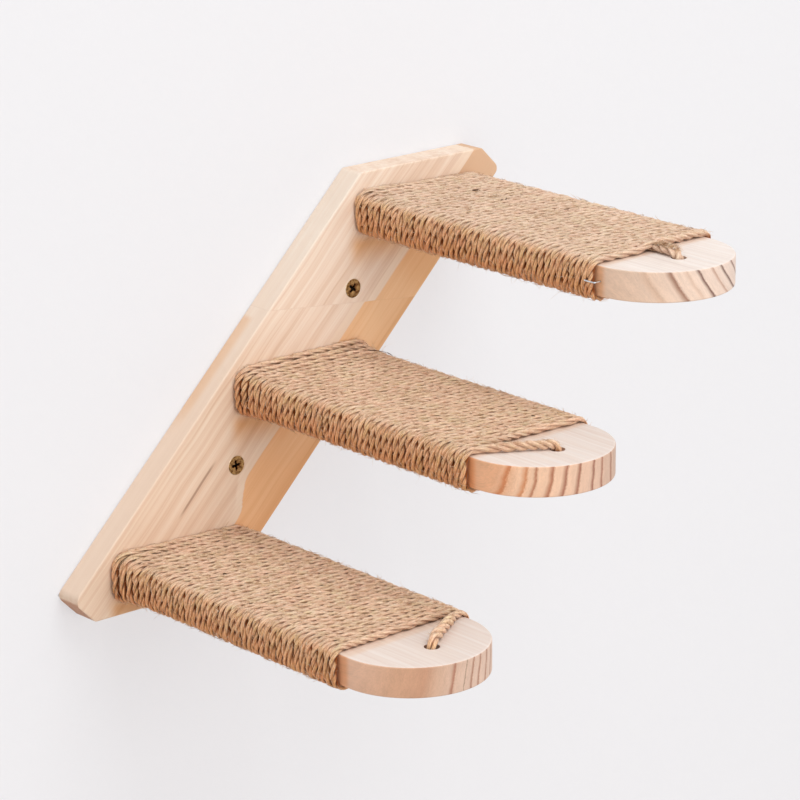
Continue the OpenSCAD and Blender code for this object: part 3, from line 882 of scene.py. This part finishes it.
def tube(line, radius, sides=3):
    """Points and faces of a thin tube along a line, with radius (1 - 0.75 t^2) from its start to its end."""
    line = np.asarray(line)
    way = line[-1] - line[0]
    u = np.cross(way, (0.3, 0.5, 0.8))
    u /= np.linalg.norm(u)
    w = np.cross(way, u) / np.linalg.norm(way)
    g = 2 * np.pi * np.arange(sides) / sides
    ring = u * np.cos(g)[:, None] + w * np.sin(g)[:, None]
    size = radius * (1 - 0.75 * np.linspace(0, 1, len(line)) ** 2)
    return (line[:, None] + ring * size[:, None, None]).reshape(-1, 3), grid_faces(len(line), sides)


def hairs(path, seed, counts):
    """Thin tubes that start on the rope: each goes on five times by d length / 5, and d turns by a curl of
    its own and a little by chance."""
    rng = np.random.default_rng(seed)
    made = []
    for kind, count in enumerate(counts):
        first = max(4, len(path) - 38) if kind == AT_END else 4
        for i in rng.choice(np.arange(first, len(path) - 12), count):
            p, n, thick = path[i, 1:4], path[i, 4:7], path[i, 7]
            way = path[i + 1, 1:4] - path[i, 1:4]
            way /= np.linalg.norm(way)
            b = np.cross(way, n)
            turn, side = rng.normal(0, 0.9), rng.uniform(-1, 1)
            rise = [rng.uniform(*span) for span in RISES][kind]
            length = [rng.uniform(*span) for span in LENGTHS][kind]
            d = (way * math.cos(turn) + b * math.sin(turn)) * rng.choice([-1, 1]) + n * rise
            height = thick * (0.5 if kind == LYING else 0.42)
            at = p + n * height * math.sqrt(1 - side * side * 0.6) + b * side * 2.0
            curl, line = rng.normal(0, 0.16, 3), []
            for _ in range(6):
                line.append(at)
                d = d / np.linalg.norm(d)
                at = at + d * length / 5
                d = d + curl + rng.normal(0, 0.1, 3)
                if kind == LYING:
                    d = d - n * (d @ n)
            made.append(tube(line, RADII[kind]))
    return joined(made)


# %% [markdown]
# ## Finish of the jute
# Seen close, a strand is made of yarns, and a yarn of fibres in many browns. They follow the strand, so
# their pattern reads the rope's own map: u along it and v round each strand. Clouds of tone and hue read the
# place instead, since they don't care how the rope runs. The gaps are darkened by how deep a point lies.

# %% Jute
JUTE_TONES = [(0.0, srgb(188, 136, 96)), (0.25, srgb(219, 173, 135)), (0.5, srgb(236, 196, 160)),
              (0.75, srgb(245, 213, 180)), (1.0, srgb(252, 229, 202))]
# factors on red, green and blue, from greenish to reddish
JUTE_HUES = [(0.32, (0.94, 1.0, 0.88, 1)), (0.5, (1.0, 1.0, 1.0, 1)), (0.68, (1.04, 0.97, 0.99, 1))]
# painted shade on the rope's upright sides, as factors on red, green and blue
PAINTED_SIDE_SHADE = (1.11, 0.98, 0.83, 1.0)
# yarns in a strand, and how fast they run back against the lay, which makes them follow the rope
YARNS, YARN_SLANT = 6, 0.34


def jute_yarns(g, u, v, strand):
    """Crest |sin(pi phase)| of each yarn, where phase = YARNS (v + YARN_SLANT u) / UV_ROUND, with a sway, the
    yarn's own tone, and fibres drawn out along it."""
    slanted = g.add(v, g.mul(u, YARN_SLANT))
    sway = g.drawn((u, 0.11), (v, 0.2), (strand, 4.0), 2.0)
    phase = g.add(g.mul(slanted, YARNS / UV_ROUND), g.spread(sway, -0.4, 0.4))
    crest = g.math("ABSOLUTE", g.math("SINE", g.mul(phase, math.pi)))
    each = g.drawn((g.math("FLOOR", phase), 7.3), (u, 0.2), (strand, 11.0), 1.0)
    fibre = g.drawn((u, 0.36), (slanted, 2.2), (strand, 9.0), 4.0, 0.65)
    return crest, each, fibre


def jute_shade(g, colour, crest, groove, depth, fuzz, side):
    """Shade between yarns, between strands and, deepest, between turns, each stronger on the upright sides."""
    furrow = g.mul(g.ramp(crest, 0.55, 0.05), g.spread(side, 0.2, 0.5, 0.5))
    between_strands = g.mul(g.ramp(groove, 0.3, 0.95), g.spread(side, 0.15, 0.6, 0.5))
    between_turns = g.mul(g.ramp(g.add(depth, g.spread(fuzz, -0.07, 0.07)), 0.26, 0.46),
                          g.ramp(side, 0.15, 0.9, 0.28, 0.97, smooth=False))
    colour = g.mix(furrow, colour, srgb(150, 92, 48))
    colour = g.mix(between_strands, colour, srgb(152, 90, 42))
    return g.mix(between_turns, colour, srgb(138, 70, 20))


def jute(name, painted_top_light):
    """Tone = 0.25 fibre + 0.2 yarn + 0.4 fuzz + 0.15 patch, made paler where it faces up as painted light, with
    painted shade on the sides and in the gaps.
    """
    g = Graph(name, Specular_IOR_Level=0.25, Sheen_Weight=0.25, Sheen_Roughness=0.4)
    lay = g.node("UVMap", uv_map="lay")
    u, v = g.dot(lay, (1, 0, 0)), g.dot(lay, (0, 1, 0))
    groove, depth, strand, side, low = (
        g.node("Attribute", out=2, attribute_name=key) for key in ("groove", "depth", "strand", "side", "low"))
    place = g.place_mm()
    crest, each, fibre = jute_yarns(g, u, v, strand)
    fuzz = g.noise(place, 0.75, 4.0, 0.75)
    patch = g.noise(place, 0.05, 3.0, 0.6)
    hue = g.noise(place, 0.13, 3.0, 0.6)
    tone = g.add(g.add(g.mul(fibre, 0.25), g.mul(each, 0.2)), g.add(g.mul(fuzz, 0.4), g.mul(patch, 0.15)))
    colour = g.colours(g.spread(tone, 0.0, 1.0, 0.13), JUTE_TONES)
    colour = g.mix(1.0, colour, g.colours(hue, JUTE_HUES), "MULTIPLY")
    # painted light: where the rope faces up it is made paler, by the share given for each tread
    colour = g.mix(g.mul(g.less(1.0, side), painted_top_light), colour, srgb(232, 214, 200))
    # painted shade: the upright sides are made warmer and browner than the top, and more so low down
    colour = g.mix(side, colour, PAINTED_SIDE_SHADE, "MULTIPLY")
    colour = g.stain(colour, low, 246, 216, 186)
    colour = jute_shade(g, colour, crest, groove, depth, fuzz, side)
    speck = g.ramp(g.drawn((u, 0.35), (v, 1.2), (strand, 3.0), 1.0), 0.73, 0.77)
    colour = g.mix(g.mul(speck, 0.7), colour, srgb(84, 56, 36))
    height = g.add(g.mul(g.add(fibre, fuzz), 0.4), g.mul(crest, 0.4))
    return g.finish(colour, g.spread(fibre, 0.92, 0.78), g.bump(height, 0.8, 0.0007))


def hair_finish(name):
    """Single jute fibres, a little shiny, whose colour changes with the place by a cloud of 2.5 mm."""
    g = Graph(name, Roughness=0.6, Specular_IOR_Level=0.3)
    return g.finish(g.colours(g.noise(g.place(), 400.0, 1.0), [
        (0.32, srgb(168, 118, 78)), (0.5, srgb(220, 184, 148)), (0.68, srgb(244, 222, 196))]))


jute_hair = hair_finish("jute_hair")
stalk_finish = Graph("jute_stalk", Roughness=0.7).finish(srgb(84, 52, 28))
print("tones of the jute:", len(JUTE_TONES), "with", len(JUTE_HUES), "hues")

# %% [markdown]
# ## Winding the three treads
# The three ropes differ as hand work does: in turns, in where they start, and in how the end is brought to
# its hole. The bottom one is wound the other way, which is the same route mirrored before its strands are
# laid, so that the lay stays right-handed as on any such rope.

# %% Ropes
# begin, rise and hold: where the rope starts, bulges and steps down, as parts of a turn
# lift: how high it bulges
WINDINGS = {
    "top": {"turns": 41, "buried": True, "begin": 0.22, "rise": 0.10, "hold": 0.36, "lift": 2.6},
    "middle": {"turns": 40, "buried": False, "begin": 0.10, "rise": 0.25, "hold": 0.68, "lift": 4.2},
    "bottom": {"turns": 40, "buried": False, "begin": 0.38, "rise": 0.10, "hold": 0.84, "lift": 2.8},
}
# direction over the top, looseness of the end in width and in thickness, painted light that makes the top
# paler, seed
HANDWORK = {
    "top": (1, (0.6, -0.14), 0.38, 11),
    "middle": (1, (0.05, 0.05), 0.2, 23),
    "bottom": (-1, (0.24, 0.24), 0.2, 37),
}


def onto_tread(points, step, direction):
    """From tread coordinates (x, l, z) to the part's frame: (cx + direction x, -board - l, cz + z)."""
    x, _, z = tread_place(step)
    return np.column_stack([x + direction * points[:, 0], -BOARD["t"] - points[:, 1], z + points[:, 2]])


def rope_paths(name, direction):
    """The rope's route in the part's frame, in two stretches where its end lies under the last turns."""
    rows, pitch = rope_route(COVERED[name], **WINDINGS[name])
    paths = [resampled(rows)]
    if WINDINGS[name]["buried"]:
        paths = [over_buried(paths[0], COVERED[name]), resampled(buried_end(COVERED[name]))]
    for path in paths:
        path[:, 1:4] = onto_tread(path[:, 1:4], STEPS[name], direction)
        path[:, 4:7] *= (direction, -1, 1)
    return paths, pitch


def wind(name, direction, loose, painted_top_light, seed):
    """One tread's rope and its fibres; low is how far a point lies below the tread's middle + 5, over 16 mm."""
    paths, pitch = rope_paths(name, direction)
    ropes, strays = [], []
    for path in paths:
        is_first, is_last = path is paths[0], path is paths[-1]
        ropes.append(laid_rope(path, seed, loose if is_last else (0.0, 0.0)))
        counts = [count * is_first for count in FIBRES] + [int(END_FIBRES * loose[0]) * is_last]
        strays.append(hairs(path, seed + 100, counts))
    points, faces, uv = joined(ropes)
    values = {key: np.concatenate([rope[3][key] for rope in ropes]) for key in ropes[0][3]}
    values["low"] = np.clip((tread_place(STEPS[name])[2] + 5 - points[:, 2]) / 16, 0, 1)
    finish = jute("jute_rope_" + name, painted_top_light)
    rope = mesh_piece("jute_rope_" + name, points, faces, finish, uv=uv, values=values)
    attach(rope, "root")
    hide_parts("rope_" + name)
    fibres = mesh_piece("jute_fibres_" + name, *joined(strays), jute_hair)
    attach(fibres, "root")
    length = sum(path[-1, 0] for path in paths) * MM
    print(name, "rope: length %.2f m, pitch %.2f mm, %d triangles" % (length, pitch, 2 * len(faces)))


for name, handwork in HANDWORK.items():
    wind(name, *handwork)

# %% [markdown]
# A few bits of dark stalk are left in such rope. Each is a five-sided tube through three points on the
# winding's top, with its middle a little higher than its ends.

# %% Stalks
# winding, x and l of both ends, radius
STALKS = [
    ("top", 9.2, 40.5, 12.0, 44.5, 0.5), ("top", 4.6, 70.4, 7.0, 70.0, 0.4),
    ("top", 8.4, 70.6, 10.7, 69.6, 0.45), ("middle", 37.8, 18.3, 44.3, 29.0, 0.34),
    ("middle", 44.3, 29.0, 42.0, 36.4, 0.3), ("middle", 22.2, 178.4, 23.4, 180.2, 0.5),
    ("bottom", -2.2, 172.6, -0.6, 174.4, 0.45), ("bottom", -19.4, 64.8, -17.8, 66.6, 0.6),
]


def winding_top(name, l):
    """Height of a winding's top at l: wood + rope + lift BULGE_KEPT ^ (turns before it)."""
    return ROPE_FLOOR + FLAT_T + WINDINGS[name]["lift"] * BULGE_KEPT ** (l / ROPE["w"] - 1)


for i, (name, x0, l0, x1, l1, radius) in enumerate(STALKS):
    top0, top1 = winding_top(name, l0), winding_top(name, l1)
    line = np.array([(x0, l0, top0 - 0.1), ((x0 + x1) / 2, (l0 + l1) / 2, (top0 + top1) / 2 + 0.25),
                     (x1, l1, top1)])
    skin = tube(onto_tread(line, STEPS[name], 1), radius, 5)
    stalk = mesh_piece("jute_stalk_%d" % (i + 1), *skin, stalk_finish)
    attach(stalk, "root")
print("stalks:", len(STALKS))

# %% [markdown]
# ## Plated steel
# The wall screws are yellow zinc, dulled to brown, and the rest is bright. One smooth metal would look like
# plastic, so the plating is cloudy and scratched, with painted shade in the recess and a painted highlight on
# the rim.
# The recess comes as a value on the screw's points, because no noise knows where it is.


# %% Metal
def metal(name, light, dark, recess, scale):
    """Plated steel: light and dark in clouds, painted shade in the recess, a painted highlight on the rim, and
    fine scratches.
    """
    g = Graph(name, Metallic=1.0)
    place = g.place_mm()
    cloud = g.noise(place, scale, 3.0, 0.6)
    scratch = g.noise(place, scale * 6, 2.0, 0.5)
    colour = g.mix(g.ramp(cloud, 0.38, 0.62), dark, light)
    depth = g.node("Attribute", out=2, attribute_name="recess")
    # painted shade: the recess is made nearly black
    colour = g.mix(g.ramp(depth, 0.05, 0.6), colour, recess)
    # painted highlight: a pale ring on the head's outer rim
    colour = g.mix(g.ramp(depth, -0.3, -0.9), colour, srgb(214, 200, 168))
    return g.finish(colour, g.spread(scratch, 0.28, 0.46), g.bump(scratch, 0.2, 0.0001))


zinc = metal("yellow_zinc_worn", srgb(196, 152, 98), srgb(116, 76, 44), srgb(20, 15, 10), 0.45)
steel = metal("plain_steel_bright", srgb(205, 205, 208), srgb(160, 160, 164), srgb(60, 60, 62), 0.4)
# painted glint: the staple's wire is brighter and bluer than plain steel
wire = metal("plain_steel_wire", srgb(232, 238, 244), srgb(206, 214, 222), srgb(60, 60, 62), 0.4)
print("metals:", ", ".join(metal_finish.name for metal_finish in (zinc, steel, wire)))

# %% [markdown]
# ## Screws and staple
# Two screws hold the board on the wall, and six hold the treads from behind. The CAD has plain shanks, so
# each screw is made again as one grid of rings from its face to its tip. Cutting a cross out with a boolean
# would leave ragged faces: here the face's height simply drops inside a cross, and the thread is a radius
# that depends on z / pitch - a / 2 pi alone. The staple's CAD shape is right as it is.

# %% Screws
WALL_SCREW = {"d": 6.0, "head": 12.0, "l": 60.0, "spacing": 130.0}
TREAD_SCREW = {"d": 5.0, "head": 10.0, "l": 59.7, "spacing": 44.0}
# depth of a head below the wood, neck and pitch as parts of the thread's diameter, and the eased rim's depth
HEAD_RECESS, SCREW_NECK, PITCH, RIM = 0.3, 0.72, 0.52, 0.12


def screw_grid(d, head, length, around=64):
    """Rings of a countersunk screw from its face at z = 0 down to its tip, and each point's share of recess.

    An arm of the cross is (1 - step |q|) (1 - step |p|) (1 - 0.45 |p| / arm), with p along it and q across.
    The thread's radius is core + (d / 2 - core) tooth, run in below the board and tapered to the tip.
    """
    a = np.arange(around) * 2 * np.pi / around
    rings, recess = [], []

    def ring(r, z, cut=0.0):
        """Points (r cos a, r sin a, z)."""
        rings.append(np.stack([r * np.cos(a), r * np.sin(a), z + 0 * a], 1))
        recess.append(cut + 0 * a)

    arm, width, deep = head * 0.25, head * 0.062, head * 0.2
    for r in np.concatenate([np.linspace(0.01, head / 2 - 0.35, 26), [head / 2 - 0.15, head / 2]]):
        x, y = np.abs(r * np.cos(a)), np.abs(r * np.sin(a))
        arms = [(1 - smoothstep(q, width * 0.75, width * 1.25)) * (1 - smoothstep(p, arm * 0.85, arm * 1.1))
                * (1 - 0.45 * p / arm) for p, q in ((x, y), (y, x))]
        inside = np.maximum(*arms)
        ring(r, -RIM * smoothstep(r, head / 2 - 0.4, head / 2) - deep * inside, inside - (r > head / 2 - 0.3))
    neck, grip = d * SCREW_NECK / 2, BOARD["t"] - HEAD_RECESS
    sink = head / 2 - neck
    for share in (0.04, 0.1, 0.4, 0.7, 1.0):
        ring(head / 2 - sink * share, -RIM - (sink - RIM) * share)
    ring(neck, -grip + 0.6)
    tip, core, pitch = 1.5 * d, d * 0.33, PITCH * d
    for z in np.arange(grip, length, 0.28):
        tooth = np.maximum(0, 1 - np.abs((-z / pitch - a / (2 * np.pi)) % 1.0 - 0.5) / 0.2)
        taper = min(1.0, max(0.0, (length - z) / tip)) ** 0.8
        full = core + (d / 2 - core) * tooth * smoothstep(z, grip, grip + pitch)
        ring(np.maximum(full * taper, 0.05), -z)
    ring(0.03, -length)
    return np.array(rings), np.concatenate(recess)


def screw_piece(name, node, at, facing_wall, size, finish, turned):
    """A screw with its head's face at a point, turned about its axis: (x, -z, y), or (x, z, -y) from behind."""
    rings, recess = screw_grid(size["d"], size["head"], size["l"])
    c, s = math.cos(turned), math.sin(turned)
    x, y, z = (rings.reshape(-1, 3) @ np.array([[c, s, 0], [-s, c, 0], [0, 0, 1]])).T
    points = np.stack([x, -z, y], 1) if facing_wall else np.stack([x, z, -y], 1)
    faces = grid_faces(len(rings), rings.shape[1])[:, ::-1]
    piece = mesh_piece(name, points + at, faces, finish, values={"recess": recess})
    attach(piece, "root")
    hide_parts(node)


for side, where in ((1, "upper"), (-1, "lower")):
    at = side * ALONG * WALL_SCREW["spacing"] / 2 + (0, -BOARD["t"] + HEAD_RECESS, 0)
    screw_piece("zinc_screw_" + where, "wall_screw_" + where, at, True, WALL_SCREW, zinc,
                0.5 + 0.4 * side)
for name, step in STEPS.items():
    for side, hand in ((-1, "left"), (1, "right")):
        at = tread_place(step) + (side * TREAD_SCREW["spacing"] / 2, -HEAD_RECESS, 0)
        tail = "screw_%s_%s" % (name, hand)
        screw_piece("steel_" + tail, "tread_" + tail, at, False, TREAD_SCREW, steel,
                    0.7 * step + 0.3 * side)
dress("rope_staple", wire)
print("wall screw: %d points" % len(bpy.data.meshes["zinc_screw_upper"].vertices))
